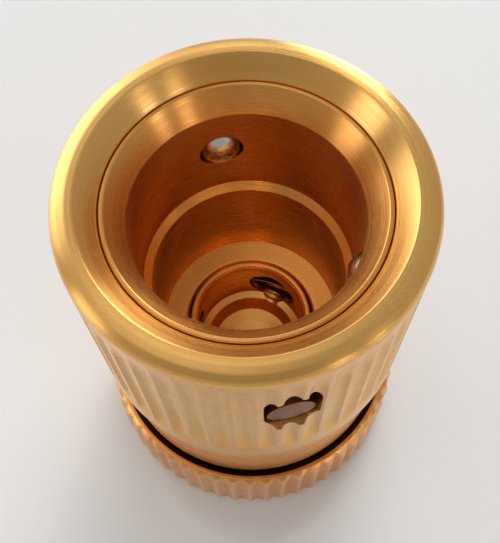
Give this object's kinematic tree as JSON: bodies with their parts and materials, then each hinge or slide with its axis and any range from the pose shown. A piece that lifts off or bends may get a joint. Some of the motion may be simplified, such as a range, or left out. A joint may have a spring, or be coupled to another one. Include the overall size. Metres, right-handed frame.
{
  "type": "garden hose quick coupling",
  "caption": "Brass female hose quick coupling with a fluted ball-lock sleeve, a sprung water-stop plunger and a toothed swivel hose nut.",
  "frame": {"origin": "centre of the swivel nut's bottom face, on the axis of all turned parts", "axes": "+Z runs along the coupling's axis from the hose end to the mouth; -Y is the side that faces the viewer"},
  "size_m": [0.0296, 0.0294, 0.0415],
  "materials": {
    "brass": "turned, satin to bright",
    "ball_steel": "polished steel",
    "spring_steel": "drawn wire",
    "rubber": "matt"
  },
  "bodies": {
    "coupling": {"coupling_body": "brass", "stop_pin": "brass", "sleeve_spring": "spring_steel", "valve_spring": "spring_steel", "valve_spring_seat": "brass", "spring_seat_clip": "spring_steel", "nut_snap_ring": "spring_steel"},
    "sleeve": {"locking_sleeve": "brass"},
    "ball_1": {"locking_ball_1": "ball_steel"},
    "ball_2": {"locking_ball_2": "ball_steel"},
    "ball_3": {"locking_ball_3": "ball_steel"},
    "plunger": {"valve_plunger": "brass", "valve_seal": "rubber"},
    "nut": {"swivel_nut": "brass", "hose_washer": "rubber"}
  },
  "joints": [
    {"name": "sleeve_slide", "type": "slide", "parent": "coupling", "child": "sleeve", "axis": [0, 0, 1], "range_m": [-0.0032, 0], "stiffness_N_per_m": 2000, "springref_m": 0.004, "deforming": ["sleeve_spring"]},
    {"name": "ball_1_slide", "type": "slide", "parent": "coupling", "child": "ball_1", "axis": [-0.2079, 0.9781, 0], "range_m": [0, 0.00096]},
    {"name": "ball_2_slide", "type": "slide", "parent": "coupling", "child": "ball_2", "axis": [-0.7431, -0.6691, 0], "range_m": [0, 0.00096]},
    {"name": "ball_3_slide", "type": "slide", "parent": "coupling", "child": "ball_3", "axis": [0.9511, -0.309, 0], "range_m": [0, 0.00096]},
    {"name": "plunger_slide", "type": "slide", "parent": "coupling", "child": "plunger", "axis": [0, 0, 1], "range_m": [-0.0028, 0], "stiffness_N_per_m": 1000, "springref_m": 0.003, "deforming": ["valve_spring"]},
    {"name": "nut_turn", "type": "hinge", "parent": "coupling", "child": "nut", "pos_m": [0, 0, 0.0076], "axis": [0, 0, 1], "continuous": true}
  ],
  "couplings": [
    {"joint": "ball_1_slide", "follows": "sleeve_slide", "ratio": -0.3},
    {"joint": "ball_2_slide", "follows": "sleeve_slide", "ratio": -0.3},
    {"joint": "ball_3_slide", "follows": "sleeve_slide", "ratio": -0.3}
  ]
}
